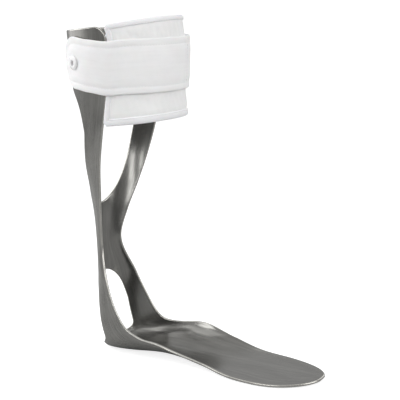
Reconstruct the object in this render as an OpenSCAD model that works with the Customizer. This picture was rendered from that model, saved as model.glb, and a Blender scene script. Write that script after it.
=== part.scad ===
// Ankle foot orthosis, right foot: moulded shell, calf liner, closing strap.
// Millimetres. +X toward the toes, +Y medial, -Y lateral, +Z up.
// Origin: on the ground under the ankle, in the middle of the heel's seat.

/* [Shell] */
// height of the calf band's top edge at its front corners
shell_h = 335.5; // [325:0.5:345]
// outer radius of the calf band at its top
calf_r = 57.2; // [54:0.1:60]
// length of the foot plate from the heel to the toe tip
foot_len = 245.6; // [230:0.2:262]
// scale of the foot plate's width
foot_w = 1; // [0.92:0.01:1.08]
// wall thickness of the moulded shell
wall = 2.6; // [2.2:0.1:3.2]

/* [Liner] */
// thickness of the padded liner panels
pad_t = 5.6; // [4.5:0.1:6]
// height of the liner
pad_h = 100; // [90:1:104]

/* [Strap] */
// width of the closing strap
strap_w = 50; // [44:1:54]
// thickness of the padded strap
strap_t = 3.2; // [2.6:0.1:3.6]

/* [Hidden] */
$fn = 48;

dz = shell_h - 335.5;
dr = calf_r - 57.2;
fl = foot_len / 245.6;
fw = foot_w;

// a section that is the same on both sides of the leg
function leg(station, bx, bz, x, y, z, tau) = [station, bx, bz, x, y, z, tau, x, y, z, tau];
// key sections: station along the shell, back or sole centre (x, z), then the lateral and the medial
// trim (x, y, z, wall angle); stations 0 to 20 run down the leg and 20 to 36 along the foot
KEYS = [
    // calf band
    leg(0, -28.5 - dr, 327 + dz, 40.5, 56 + dr, 335.5 + dz, 103),
    leg(1, -26.5 - dr, 303 + dz, 41.5, 55 + dr, 305 + dz, 103),
    leg(2, -24 - dr, 280 + dz, 40, 53 + dr, 280 + dz, 102),
    // branches round the calf opening
    leg(3, -23 - dr, 262 + dz * 0.9, 37, 51.5 + dr, 260 + dz * 0.9, 99),
    leg(5, -20.5 - dr * 0.6, 230 + dz * 0.7, 32, 50.5 + dr * 0.6, 230 + dz * 0.7, 92),
    leg(7, -16 - dr * 0.2, 198 + dz * 0.5, 25, 45 + dr * 0.2, 198 + dz * 0.5, 89),
    leg(9, -9.5, 168 + dz * 0.3, 18.5, 35.5, 168 + dz * 0.3, 77),
    // strut, with its waist just above the ankle
    leg(11, -6.5, 141 + dz * 0.1, 12, 25.5, 141 + dz * 0.1, 73),
    leg(13, -6, 113, 8, 18, 113, 75),
    // side walls round the heel opening
    leg(16, -2.5, 72, 20, 28, 73, 78),
    leg(18, -2, 40, 30.5, 31.5, 50, 88),
    leg(20, 2, 9, 44.5, 32, 30, 90),
    // foot plate: level under the heel's seat, then rising, with a higher flange along the arch
    [21, 7.5, 2.5, 53, 32, 25, 90, 52, 32.5, 24.5, 90],
    [22, 20, 1.2, 64.5, 31.5, 21, 85, 62, 34, 22.5, 86],
    [23, 36, 1.2, 77, 31, 19.5, 80, 74, 35, 23, 82],
    [25, 72, 4, 98, 30, 13.5, 58, 97, 37, 25, 75],
    [28, 122, 1.5, 132.5, 33, 7, 28, 130, 42.5, 12.5, 38],
    // forefoot and toe
    [31, 166, 1.2, 170, 42, 2.5, 8, 167, 42, 2.5, 8],
    [33, 200, 1.2, 201, 43, 2, 6, 200, 37, 2, 6],
    [36, 245.6, 2.6, 245.6, 43, 3, 4, 245.6, 33.5, 3, 4]
];
LAST_KEY = len(KEYS) - 1;
LAST = KEYS[LAST_KEY][0];
// where each opening starts and ends along the sections
CALF = [2.2, 10.35];
HEEL = [15.6, 20.7];
TOE = 32.6;
// half-width of each opening, as a share of the wall from its centre to its trim
CALF_W = [[2, 0.55], [5, 0.7], [8, 0.65], [10, 0.6]];
HEEL_W = [[15, 0.5], [18, 0.6]];

// smooth curve through the key sections: each key's rate of change weighs its two neighbours
function run(i) = KEYS[i + 1][0] - KEYS[i][0];
function chord(i) = (KEYS[i + 1] - KEYS[i]) / run(i);
function mid_rate(i) = (chord(i - 1) * run(i) + chord(i) * run(i - 1)) / (run(i - 1) + run(i));
RATES = [for (i = [0:LAST_KEY])
    i == 0 ? 1.5 * chord(0) - 0.5 * mid_rate(1)
    : i == LAST_KEY ? 1.5 * chord(i - 1) - 0.5 * mid_rate(i - 1)
    : mid_rate(i)];
function key_below(s, i = 0) = i >= LAST_KEY - 1 || KEYS[i + 1][0] > s ? i : key_below(s, i + 1);
function row_at(s) = let (i = key_below(s), h = run(i), t = (s - KEYS[i][0]) / h,
    r = KEYS[i] * ((1 + 2 * t) * pow(1 - t, 2)) + RATES[i] * (h * t * pow(1 - t, 2))
        + KEYS[i + 1] * (t * t * (3 - 2 * t)) - RATES[i + 1] * (h * t * t * (1 - t)))
    [for (j = [1:10]) r[j]];
// rounded toe: half-width factor along the last sections
function toe_f(x) = x < 188 ? 1 : sqrt(max(0, 1 - pow((x - 188) / 57.9, 2)));
function fx(x) = x > 60 ? 60 + (x - 60) * (foot_len - 60) / 185.6 : x;
// point on the wall's middle surface: s along the shell, v from -1 lateral trim to 1 medial trim
function skin(s, v) = let (r = row_at(s), side = v < 0 ? -1 : 1, t = abs(v),
    k = v < 0 ? 2 : 6,
    f = toe_f(r[0]),
    w = r[k + 1] * f,
    B = [r[0], 0, r[1]],
    T = [r[k], side * w, r[k + 2]],
    rise = [T[0] - B[0], 0, T[2] - B[2]],
    h = norm(rise),
    e = rise / max(h, 0.001),
    tau = max(3, r[k + 3]),
    m = 4 / 3 * tan(tau / 4),
    l1 = m * w / sin(tau) * sq(s),
    l2 = m * h / (1 - cos(tau)) * sq(s),
    l2c = min(l2, w * 0.6 + h * 0.4),
    P1 = B + [0, side * l1, 0],
    P2 = T - l2c * (e * sin(tau) + [0, side * cos(tau), 0]),
    p = B * pow(1 - t, 3) + P1 * 3 * t * pow(1 - t, 2) + P2 * 3 * t * t * (1 - t) + T * pow(t, 3))
    [fx(p[0]), p[1] * (p[0] > 60 ? 1 + (fw - 1) * min(1, (p[0] - 60) / 60) : 1), p[2]];
// fuller corners round the heel
function sq(s) = 1 + 0.28 * max(0, min(1, (s - 15.5) / 3)) * max(0, min(1, (25 - s) / 3));
function unit(v) = v / norm(v);
function nrm(s, v) = let (h = 0.02, s0 = max(0, s - h), s1 = min(LAST, s + h),
    v0 = v <= 0 ? v - h : v, v1 = v <= 0 ? v : v + h)
    unit(cross(skin(s1, v) - skin(s0, v), skin(s, v1 > 0 ? v1 : v) - skin(s, v > 0 ? v : v0)));
function hole_f(s, r, p, q) = s <= r[0] || s >= r[1] ? 0 : let (u = 2 * (s - r[0]) / (r[1] - r[0]) - 1)
    sqrt(max(0, 1 - pow(abs(u), u < 0 ? p : q)));
function v_in(s) = s < 12
    ? hole_f(s, CALF, 7, 3.7) * lookup(s, CALF_W)
    : hole_f(s, HEEL, 4, 8) * lookup(s, HEEL_W);
// rounded front corners of the calf band
function v_out(s) = s < 0.45 ? 1 - 0.115 * (1 - sqrt(1 - pow(1 - s / 0.45, 2))) : 1;

function seg(a, b, n) = [for (i = [0:n - 1]) a + (b - a) * i / n];
function cosseg(a, b, n) = [for (i = [0:n - 1]) a + (b - a) * (1 - cos(180 * i / n)) / 2];
function endseg(a, b, n) = [for (i = [0:n]) a + (b - a) * sin(90 * i / n)];
function startseg(a, b, n) = [for (i = [0:n - 1]) a + (b - a) * (1 - cos(90 * i / n))];
STN = concat(startseg(0, 0.45, 4), seg(0.45, CALF[0], 5), cosseg(CALF[0], CALF[1], 24),
    seg(CALF[1], HEEL[0], 11), cosseg(HEEL[0], HEEL[1], 20), seg(HEEL[1], TOE, 17), endseg(TOE, LAST, 10));
NS = len(STN);
END = NS - 1;
NC = 11;

function col(s, j) = let (a = v_in(s), b = v_out(s)) a + (b - a) * j / NC;
// vertex blocks: outer lateral, outer medial, inner lateral, inner medial
function blk(side, off) = [for (i = [0:NS - 1]) for (j = [0:NC])
    let (s = STN[i], v = side * max(0.0001, col(s, j)), p = skin(s, v), n = nrm(s, v))
    j == 0 && v_in(s) == 0 ? [skin(s, 0)[0], 0, skin(s, 0)[2]] + off * unit([n[0], 0, n[2]]) : p + off * n];
PER = NS * (NC + 1);
function closed(i) = v_in(STN[i]) == 0;
// q: 0 outer lateral, 1 outer medial, 2 inner lateral, 3 inner medial
function id(q, i, j) = (j == 0 && closed(i) ? (q < 2 ? 0 : 2) : q) * PER + i * (NC + 1) + j;
function quad(a, b, c, d) = [[a, b, c], [a, c, d]];
SHELL_POINTS = concat(blk(-1, wall / 2), blk(1, wall / 2), blk(-1, -wall / 2), blk(1, -wall / 2));
SHELL_FACES = [
    for (q = [0, 3]) for (i = [0:NS - 2]) for (j = [0:NC - 1])
        each quad(id(q, i, j), id(q, i, j + 1), id(q, i + 1, j + 1), id(q, i + 1, j)),
    for (q = [1, 2]) for (i = [0:NS - 2]) for (j = [0:NC - 1])
        each quad(id(q, i, j), id(q, i + 1, j), id(q, i + 1, j + 1), id(q, i, j + 1)),
    for (i = [0:NS - 2]) each quad(id(0, i, NC), id(2, i, NC), id(2, i + 1, NC), id(0, i + 1, NC)),
    for (i = [0:NS - 2]) each quad(id(1, i, NC), id(1, i + 1, NC), id(3, i + 1, NC), id(3, i, NC)),
    for (i = [0:NS - 2]) if (!(closed(i) && closed(i + 1))) each rimq(0, 2, i),
    for (i = [0:NS - 2]) if (!(closed(i) && closed(i + 1))) each rimr(1, 3, i),
    for (j = [0:NC - 1]) each quad(id(0, 0, j), id(2, 0, j), id(2, 0, j + 1), id(0, 0, j + 1)),
    for (j = [0:NC - 1]) each quad(id(1, 0, j), id(1, 0, j + 1), id(3, 0, j + 1), id(3, 0, j)),
    for (j = [0:NC - 1]) each quad(id(0, END, j), id(0, END, j + 1), id(2, END, j + 1), id(2, END, j)),
    for (j = [0:NC - 1]) each quad(id(1, END, j), id(3, END, j), id(3, END, j + 1), id(1, END, j + 1))
];
function rimq(o, n, i) = quad(id(o, i, 0), id(o, i + 1, 0), id(n, i + 1, 0), id(n, i, 0));
function rimr(o, n, i) = quad(id(o, i, 0), id(n, i, 0), id(n, i + 1, 0), id(o, i + 1, 0));

// cuff frame: leg axis at the strap's top edge, leaning back a little; its surfaces are slim cones
ANKLE_X = 35.5;
CUFF_X = 28.3;
CUFF_Z = 322;
LEAN = 1.28;
SLOPE = 0.06;
STRAP_SLOPE = 0.038;
FRONT_SLOPE = 0.038;
band_r = calf_r + 0.9;
gap = 0.2;
overlap = 0.05;
// angles seen from above, 0 at the front, positive toward the medial side
A_FLAP = 76.5;
A_RIVET = -115;
A_HINGE = [-92, -40, 35];
A_TIP = 99;
TIP_START = A_HINGE[2] - 2.65;
TAB = [80, 97];
PATCH = [84, 100];
strap_in = band_r + 0.4;
front_out = band_r - 0.1;
front_in = front_out - pad_t - 2.4;
back_out = band_r - wall - 2.5;
back_in = back_out - pad_t;
lining_t = 1;
hem_h = 7.5;
hem_t = 5;
HEM_END = 6;
rivet_z = -22.5;
tip_shift = 2.93;

module cuff() {
    translate([CUFF_X - ANKLE_X, 0, CUFF_Z]) rotate([0, -LEAN, 0]) children();
}

// conical wall between radii r0 and r1, heights z0 and z1, angles a0 and a1, edges chamfered by c
module sector(r0, r1, z0, z1, a0, a1, k, c = 0) {
    rotate([0, 0, a0]) rotate_extrude(angle = a1 - a0, $fn = 96) polygon([
        for (q = c == 0
            ? [[r0, z0], [r1, z0], [r1, z1], [r0, z1]]
            : [[r0 + c, z0], [r1 - c, z0], [r1, z0 + c], [r1, z1 - c],
               [r1 - c, z1], [r0 + c, z1], [r0, z1 - c], [r0, z0 + c]])
            [q[0] + k * q[1], q[1]]]);
}

// slab whose faces rise toward the front by tilt
module slab(z0, z1, tilt) {
    multmatrix([[1, 0, 0, 0], [0, 1, 0, 0], [tilt, 0, 1, z0], [0, 0, 0, 1]])
        translate([-90, -90, 0]) cube([180, 180, z1 - z0]);
}

// what is cut off the front flap's ends: above STEP_Z by angle, below it along a slanted plane that
// follows the shell's trim edge
STEP_Z = -strap_w + 0.5;
END_X = 18.2;
module cut_upper(a0, a1) {
    rotate([0, 0, a0]) rotate_extrude(angle = a1 - a0, $fn = 96) translate([30, STEP_Z]) square([60, 90]);
}
module cut_lower(x0, z1) {
    intersection() {
        translate([x0, -90, 0]) rotate([0, 9.09, 0]) translate([0, 0, -130]) cube([120, 90, 150]);
        translate([-150, -95, -130]) cube([300, 95, 130 + z1]);
    }
}

// part of the front flap that starts e from its free end
module front_piece(r0, r1, z0, z1, e) {
    color([0.93, 0.93, 0.93]) cuff() difference() {
        intersection() {
            sector(r0, r1, z0 - 12, z1 + 12, -90, A_FLAP, FRONT_SLOPE);
            slab(z0, z1, 0.11);
        }
        cut_upper(-110, -A_FLAP + e);
        cut_lower(END_X + e - 121.5, STEP_Z + 4);
    }
}

module back_piece(r0, r1, z0, z1, a0, a1) {
    color([0.9, 0.9, 0.9]) cuff() intersection() {
        sector(r0, r1, z0 - 12, z1 + 12, a0, a1, SLOPE);
        slab(z0, z1, 0.08);
    }
}

FRONT_TOP = 14.4;
FRONT_BOT = FRONT_TOP - pad_h;
BACK_TOP = 3;
BACK_BOT = -39.5;

// the rivet's axis; h = 0 on the strap's inner face, positive outward
RIVET_TILT = 2.8;
module at_rivet(h = 0) {
    cuff() rotate([0, 0, A_RIVET]) translate([strap_in + STRAP_SLOPE * rivet_z, 0, rivet_z])
        rotate([0, 90 + RIVET_TILT, 0]) translate([0, 0, h]) children();
}

module rivet_bore() {
    translate([0, 0, -12]) cylinder(h = 24, r = 3.25, $fn = 32);
}

module shell() {
    color([0.5, 0.5, 0.49])
    difference() {
        translate([-ANKLE_X, 0, 0]) polyhedron(SHELL_POINTS, SHELL_FACES);
        translate([-150, -100, -20]) cube([420, 200, 20]);
        at_rivet() rivet_bore();
    }
}

module pad_back_panel() {
    back_piece(back_in, back_out, BACK_BOT + hem_t, BACK_TOP - hem_t, 84, 276);
}
module pad_back_lining() {
    back_piece(back_in - lining_t, back_in, BACK_BOT + hem_t, BACK_TOP - hem_t, 84, 276);
}
module pad_back_hem_top() {
    back_piece(back_in - lining_t, back_out, BACK_TOP - hem_t, BACK_TOP, 84, 276);
}
module pad_back_hem_bottom() {
    back_piece(back_in - lining_t, back_out, BACK_BOT, BACK_BOT + hem_t, 84, 276);
}
module pad_back_hem_lateral() {
    back_piece(back_in - lining_t, back_out, BACK_BOT, BACK_TOP, 276, 281.5);
}
module pad_back_hem_medial() {
    back_piece(back_in - lining_t, back_out, BACK_BOT, BACK_TOP, 78.5, 84);
}

module hook(a0, a1, z0, z1) {
    color([0.85, 0.85, 0.85]) cuff() sector(back_out + 0.1, back_out + 1.4, z0, z1, a0, a1, SLOPE);
}
module pad_hook_medial() { hook(84, 106, -34, -8); }
module pad_hook_rear() { hook(160, 200, -30, -10); }
module pad_hook_lateral() { hook(258, 276, -34, -8); }

module pad_front_panel() {
    front_piece(front_in, front_out, FRONT_BOT + hem_h, FRONT_TOP - hem_t, HEM_END);
}
module pad_front_lining() {
    front_piece(front_in - lining_t, front_in, FRONT_BOT + hem_h, FRONT_TOP - hem_t, HEM_END);
}
module pad_front_hem_top() {
    front_piece(front_in - lining_t, front_out + 0.2, FRONT_TOP - hem_t, FRONT_TOP, HEM_END);
}
module pad_front_hem_bottom() {
    front_piece(front_in - lining_t, front_out + 0.2, FRONT_BOT, FRONT_BOT + hem_h, HEM_END);
}
module pad_front_hem_end() {
    color([0.93, 0.93, 0.93]) difference() {
        intersection() {
            front_piece(front_in - lining_t, front_out + 0.2, FRONT_BOT, FRONT_TOP, 0);
            cuff() rotate([0, 0, -90]) rotate_extrude(angle = 30, $fn = 96)
                translate([20, FRONT_BOT - 50]) square([60, 200]);
        }
        cuff() cut_upper(-A_FLAP + HEM_END, -50);
        cuff() cut_lower(END_X + HEM_END, STEP_Z + overlap);
    }
}

module strap_hook_patch() {
    color([0.85, 0.85, 0.85]) cuff() sector(band_r + 0.8, band_r + 1.45, -43, -7, PATCH[0], PATCH[1], SLOPE);
}

module strap_piece(a0, a1) {
    sector(strap_in, strap_in + strap_t, -strap_w, 0, a0, a1, STRAP_SLOPE, 0.8);
}

module strap_root() {
    color([0.94, 0.94, 0.94]) difference() {
        intersection() {
            cuff() strap_piece(-142, A_HINGE[0] - 0.15);
            union() {
                cuff() rotate([0, 0, A_RIVET]) translate([40, 0, -strap_w / 2]) rotate([0, 90, 0])
                    cylinder(h = 40, r = strap_w / 2, $fn = 96);
                cuff() rotate([0, 0, A_RIVET]) translate([0, 0, -strap_w - 1]) cube([80, 45, strap_w + 2]);
            }
        }
        at_rivet() rivet_bore();
    }
}
module rivet_cap() {
    color([0.9, 0.9, 0.9]) at_rivet(strap_t + 0.15) rotate_extrude($fn = 64)
        polygon([[3.1, 0], [7, 0], [7.2, 0.3], [6.9, 0.8], [5.8, 1.3], [4.4, 1.5], [3.1, 1.5]]);
}
module rivet_post() {
    color([0.8, 0.8, 0.8]) at_rivet(-wall - 2.35) difference() {
        cylinder(h = strap_t + wall + 3.8, r = 3, $fn = 48);
        translate([0, 0, -1]) cylinder(h = strap_t + wall + 6, r = 1.9, $fn = 48);
    }
}
module rivet_washer() {
    color([0.8, 0.8, 0.8]) at_rivet(-wall - 2.25) difference() {
        cylinder(h = 0.9, r = 7, $fn = 64);
        translate([0, 0, -1]) cylinder(h = 3, r = 3.1, $fn = 48);
    }
}

module strap_side() {
    color([0.94, 0.94, 0.94]) cuff() strap_piece(A_HINGE[0] + 0.15, A_HINGE[1] - 0.15);
}
module strap_front() {
    color([0.94, 0.94, 0.94]) cuff() strap_piece(A_HINGE[1] + 0.15, A_HINGE[2] - 0.15);
}
// the tip runs a little further out, over the hook patch
module tip_frame() {
    cuff() translate(tip_shift * [cos(A_HINGE[2] + 90), sin(A_HINGE[2] + 90), 0]) children();
}
module strap_tip() {
    color([0.94, 0.94, 0.94]) tip_frame() strap_piece(TIP_START, A_TIP);
}
module strap_hook_tab() {
    color([0.85, 0.85, 0.85]) tip_frame()
        sector(strap_in - 1.1, strap_in - 0.1, -43, -7, TAB[0], TAB[1], STRAP_SLOPE);
}

shell();
pad_back_panel();
pad_back_lining();
pad_back_hem_top();
pad_back_hem_bottom();
pad_back_hem_lateral();
pad_back_hem_medial();
pad_hook_medial();
pad_hook_rear();
pad_hook_lateral();
pad_front_panel();
pad_front_lining();
pad_front_hem_top();
pad_front_hem_bottom();
pad_front_hem_end();
strap_hook_patch();
strap_root();
rivet_cap();
rivet_post();
rivet_washer();
strap_side();
strap_front();
strap_tip();
strap_hook_tab();
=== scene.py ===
import math

import bpy
import numpy as np
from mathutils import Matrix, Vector


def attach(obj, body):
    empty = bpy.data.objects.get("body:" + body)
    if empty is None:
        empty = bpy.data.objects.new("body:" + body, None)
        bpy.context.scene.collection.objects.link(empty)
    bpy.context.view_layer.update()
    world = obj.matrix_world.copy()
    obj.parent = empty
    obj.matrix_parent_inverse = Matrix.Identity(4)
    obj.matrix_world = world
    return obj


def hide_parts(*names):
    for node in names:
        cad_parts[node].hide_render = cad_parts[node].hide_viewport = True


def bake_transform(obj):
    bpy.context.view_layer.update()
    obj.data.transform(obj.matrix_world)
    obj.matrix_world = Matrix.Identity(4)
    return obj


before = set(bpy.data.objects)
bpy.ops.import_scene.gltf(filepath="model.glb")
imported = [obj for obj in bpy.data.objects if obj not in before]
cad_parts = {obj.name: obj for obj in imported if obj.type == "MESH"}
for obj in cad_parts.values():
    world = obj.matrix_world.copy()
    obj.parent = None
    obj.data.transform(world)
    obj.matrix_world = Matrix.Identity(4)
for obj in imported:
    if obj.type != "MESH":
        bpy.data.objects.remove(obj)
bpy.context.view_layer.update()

# ---------------------------------------------------------------- sizes, in millimetres and degrees
ANKLE_X, WALL = 35.5, 2.6
CUFF = (28.3 - ANKLE_X, 0.0, 322.0)          # leg axis at the strap's top edge
LEAN = math.radians(1.28)
SLOPE, FRONT_SLOPE = 0.06, 0.038
BAND_R, STRAP_IN, STRAP_T, STRAP_W = 58.1, 58.5, 3.2, 50.0
FRONT_IN, FRONT_OUT, BACK_IN, BACK_OUT = 50.0, 58.0, 47.4, 53.0
A_RIVET, RIVET_Z = -115.0, -24.0
HINGE = (-92.0, -40.0, 35.0)
TIP_SHIFT, A_TIP = 2.93, 99.0
TAB_A, TAB_STEP = 9.0, 0.8                     # where the strap's second layer starts, and its thickness


def cuff(r, a, z):
    """Points of the cuff frame, from radius, angle in degrees and height, in the row frame."""
    r, a, z = np.broadcast_arrays(*(np.asarray(q, float) for q in (r, a, z)))
    a = np.radians(a)
    x, y = r * np.cos(a), r * np.sin(a)
    return np.stack([CUFF[0] + x * math.cos(LEAN) - z * math.sin(LEAN), y,
                     CUFF[2] + x * math.sin(LEAN) + z * math.cos(LEAN)], -1)


def step(a, b, x):
    """0 before a and 1 after b, with a smooth rise between."""
    t = np.clip((np.asarray(x, float) - a) / (b - a), 0, 1)
    return t * t * (3 - 2 * t)


def unit(v):
    return v / np.maximum(np.linalg.norm(v, axis=-1, keepdims=True), 1e-12)


# ---------------------------------------------------------------- mesh helpers
def grid_faces(rows, cols):
    """Quads of a sheet of rows times cols points, counted row by row."""
    i, j = np.meshgrid(np.arange(rows - 1), np.arange(cols - 1), indexing="ij")
    a = (i * cols + j).ravel()
    return np.stack([a, a + cols, a + cols + 1, a + 1], 1)


def quad_normals(P, F):
    """Each point's normal, averaged over its faces."""
    n = np.zeros_like(P)
    fn = np.cross(P[F[:, 2]] - P[F[:, 0]], P[F[:, 3]] - P[F[:, 1]])
    for k in range(4):
        np.add.at(n, F[:, k], fn)
    return unit(n)


def thicken(P, F, N, up, down, rho, k=6):
    """A closed body round the sheet P, F: its faces up and down millimetres off along N, with rounded rims.

    Faces run anticlockwise seen from N's side. Returns points, faces and, for each point, the sheet point
    it came from. Sheet point i gives point i on the upper face and n + i on the lower one.
    """
    n = len(P)
    up, down, rho = (np.broadcast_to(np.asarray(q, float), n) for q in (up, down, rho))
    E = np.stack([F, np.roll(F, -1, 1)], 2).reshape(-1, 2)
    E = E[(E[:, 0] != E[:, 1])]
    key = {(int(a), int(b)) for a, b in E}
    rim = [(a, b) for a, b in key if (b, a) not in key]
    after, before = dict(rim), {b: a for a, b in rim}
    ids = sorted(after)
    T = unit(np.array([P[after[i]] - P[before[i]] for i in ids]))
    O = unit(np.cross(T, N[ids]))
    pts, src = [P + N * up[:, None], P - N * down[:, None]], [np.arange(n), np.arange(n)]
    ring = {i: m for m, i in enumerate(ids)}
    layers = [np.array(ids)]
    for q in range(1, k):
        phi = math.pi / 2 - math.pi * q / k
        h = np.where(math.sin(phi) > 0, up[ids], down[ids]) * math.sin(phi)
        pts.append(P[ids] + N[ids] * h[:, None] + O * (rho[ids] * math.cos(phi))[:, None])
        src.append(np.array(ids))
        layers.append(np.arange(len(ids)) + 2 * n + (q - 1) * len(ids))
    layers.append(np.array(ids) + n)
    faces = [F, F[:, ::-1] + n]
    a = np.array([ring[p] for p, _ in sorted(rim)])
    b = np.array([ring[q] for _, q in sorted(rim)])
    for m in range(k):
        u, v = layers[m], layers[m + 1]
        faces.append(np.stack([u[b], u[a], v[a], v[b]], 1))
    return np.concatenate(pts), np.concatenate(faces), np.concatenate(src)


def make(name, P, F, mats, uv=None, slots=None, sharp=50, smooth=True):
    """A mesh object from points in millimetres. uv holds two numbers a point, in millimetres too."""
    F = [tuple(dict.fromkeys(int(q) for q in f)) for f in F]
    keep = [i for i, f in enumerate(F) if len(f) > 2]
    me = bpy.data.meshes.new(name)
    me.from_pydata((np.asarray(P) * 0.001).tolist(), [], [F[i] for i in keep])
    for m in mats if isinstance(mats, (list, tuple)) else [mats]:
        me.materials.append(m)
    if slots is not None:
        me.polygons.foreach_set("material_index", np.asarray(slots, np.int32)[keep])
    if uv is not None:
        layer = me.uv_layers.new(name="surface")
        at = np.zeros(len(me.loops), np.int32)
        me.loops.foreach_get("vertex_index", at)
        layer.data.foreach_set("uv", (np.asarray(uv)[at] * 0.01).astype(np.float32).ravel())
    me.update()
    if smooth:
        me.polygons.foreach_set("use_smooth", np.ones(len(me.polygons), bool))
        me.set_sharp_from_angle(angle=math.radians(sharp))
    ob = bpy.data.objects.new(name, me)
    bpy.context.scene.collection.objects.link(ob)
    return ob


class Body:
    """Collects several closed shapes into one mesh."""

    def __init__(self):
        self.P, self.F, self.uv, self.slot, self.n = [], [], [], [], 0

    def add(self, P, F, uv=None, slot=0):
        self.P.append(P)
        self.F += (np.asarray(F) + self.n).tolist()
        self.uv.append(np.zeros((len(P), 2)) if uv is None else uv)
        self.slot += [slot] * len(F)
        self.n += len(P)

    def make(self, name, mats, **kw):
        return make(name, np.concatenate(self.P), self.F, mats, np.concatenate(self.uv), self.slot, **kw)


def stitches(body, P, N, pitch=3.0, length=2.1, radius=0.27, lift=0.1, slot=1):
    """Thread stitches along the line P, on a surface whose outward normals are N."""
    seg = np.linalg.norm(np.diff(P, axis=0), axis=1)
    at = np.concatenate([[0], np.cumsum(seg)])
    count = int(at[-1] / pitch)
    if count < 1:
        return
    mid = (np.arange(count) + 0.5) * at[-1] / count

    def on(s):
        return (np.stack([np.interp(s, at, P[:, c]) for c in range(3)], 1),
                unit(np.stack([np.interp(s, at, N[:, c]) for c in range(3)], 1)))
    # each ring of a stitch: place along it, width and height, as shares
    rings = [(-1.0, 0.25, -1.0), (-0.75, 0.85, 0.1), (-0.25, 1.0, 0.7),
             (0.25, 1.0, 0.7), (0.75, 0.85, 0.1), (1.0, 0.25, -1.0)]
    sides = 6
    pts = []
    for u, w, rise in rings:
        C, n = on(mid + u * length / 2)
        ahead, _ = on(np.minimum(mid + u * length / 2 + 0.3, at[-1]))
        back, _ = on(np.maximum(mid + u * length / 2 - 0.3, 0))
        t = unit(ahead - back)
        b = unit(np.cross(n, t))
        for q in range(sides):
            c, s = math.cos(2 * math.pi * q / sides), math.sin(2 * math.pi * q / sides)
            pts.append(C + n * (lift + radius * rise * 0.6) + (b * c + n * s) * radius * w)
    pts = np.array(pts)                                   # ring points, stitches, xyz
    m = len(rings) * sides
    faces = []
    for r in range(len(rings) - 1):
        for q in range(sides):
            a, b = r * sides + q, r * sides + (q + 1) % sides
            faces.append([a, b, b + sides, a + sides])
    caps = [[0, sides - 1, sides - 2, sides - 3], [0, sides - 3, sides - 4, 1]]
    last = (len(rings) - 1) * sides
    caps += [[last, last + 1, last + 2, last + 3], [last, last + 3, last + 4, last + 5]]
    one = np.array(faces + caps)
    F = (one[None] + (np.arange(count) * m)[:, None, None]).reshape(-1, 4)
    body.add(pts.transpose(1, 0, 2).reshape(-1, 3), F, slot=slot)


# ---------------------------------------------------------------- the moulded shell
def leg(station, bx, bz, x, y, z, tau):
    """A section that is the same on both sides of the leg."""
    return [station, bx, bz, x, y, z, tau, x, y, z, tau]


# key sections: station along the shell, back or sole centre (x, z), then the lateral and the medial
# trim (x, y, z, wall angle); stations 0 to 20 run down the leg and 20 to 36 along the foot
KEYS = np.array([
    # calf band
    leg(0, -28.5, 327, 40.5, 56, 335.5, 103),
    leg(1, -26.5, 303, 41.5, 55, 305, 103),
    leg(2, -24, 280, 40, 53, 280, 102),
    # branches round the calf opening
    leg(3, -23, 262, 37, 51.5, 260, 99),
    leg(5, -20.5, 230, 32, 50.5, 230, 92),
    leg(7, -16, 198, 25, 45, 198, 89),
    leg(9, -9.5, 168, 18.5, 35.5, 168, 77),
    # strut, with its waist just above the ankle
    leg(11, -6.5, 141, 12, 25.5, 141, 73),
    leg(13, -6, 113, 8, 18, 113, 75),
    # side walls round the heel opening
    leg(16, -2.5, 72, 20, 28, 73, 78),
    leg(18, -2, 40, 30.5, 31.5, 50, 88),
    leg(20, 2, 9, 44.5, 32, 30, 90),
    # foot plate: level under the heel's seat, then rising, with a higher flange along the arch
    [21, 7.5, 2.5, 53, 32, 25, 90, 52, 32.5, 24.5, 90],
    [22, 20, 1.2, 64.5, 31.5, 21, 85, 62, 34, 22.5, 86],
    [23, 36, 1.2, 77, 31, 19.5, 80, 74, 35, 23, 82],
    [25, 72, 4, 98, 30, 13.5, 58, 97, 37, 25, 75],
    [28, 122, 1.5, 132.5, 33, 7, 28, 130, 42.5, 12.5, 38],
    # forefoot and toe
    [31, 166, 1.2, 170, 42, 2.5, 8, 167, 42, 2.5, 8],
    [33, 200, 1.2, 201, 43, 2, 6, 200, 37, 2, 6],
    [36, 245.6, 2.6, 245.6, 43, 3, 4, 245.6, 33.5, 3, 4]], dtype=float)
STATIONS = KEYS[:, 0]
LAST = STATIONS[-1]
TOE = 32.6                                     # station where the toe's rounding begins
WAIST = 12                                     # station between the two openings
CALF_W = ([2, 5, 8, 10], [0.55, 0.7, 0.65, 0.6])
HEEL_W = ([15, 18], [0.5, 0.6])
CORNER = 0.45                                  # station down to which the band's front corners are rounded
RIM = 1.0                                      # how far the rounded rims stand out from the sheet's edge
CALF, HEEL = (2.2 - 0.045, 10.35 + 0.075), (15.6 - 0.075, 20.7 + 0.06)   # the openings, wider by the rims


def key_rates():
    """How fast the section changes at each key, weighing its two neighbours."""
    run = np.diff(STATIONS)[:, None]
    chord = np.diff(KEYS, axis=0) / run
    mid = (chord[:-1] * run[1:] + chord[1:] * run[:-1]) / (run[1:] + run[:-1])
    return np.concatenate([1.5 * chord[:1] - 0.5 * mid[:1], mid, 1.5 * chord[-1:] - 0.5 * mid[-1:]])


RATES = key_rates()


def row_at(s):
    """The section at station s, on a smooth curve through the key sections."""
    i = np.clip(np.searchsorted(STATIONS, s, side="right") - 1, 0, len(KEYS) - 2)
    h = (STATIONS[i + 1] - STATIONS[i])[:, None]
    t = (s - STATIONS[i])[:, None] / h
    row = (KEYS[i] * (1 + 2 * t) * (1 - t) ** 2 + RATES[i] * h * t * (1 - t) ** 2
           + KEYS[i + 1] * t * t * (3 - 2 * t) - RATES[i + 1] * h * t * t * (1 - t))
    return row[:, 1:]


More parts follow.
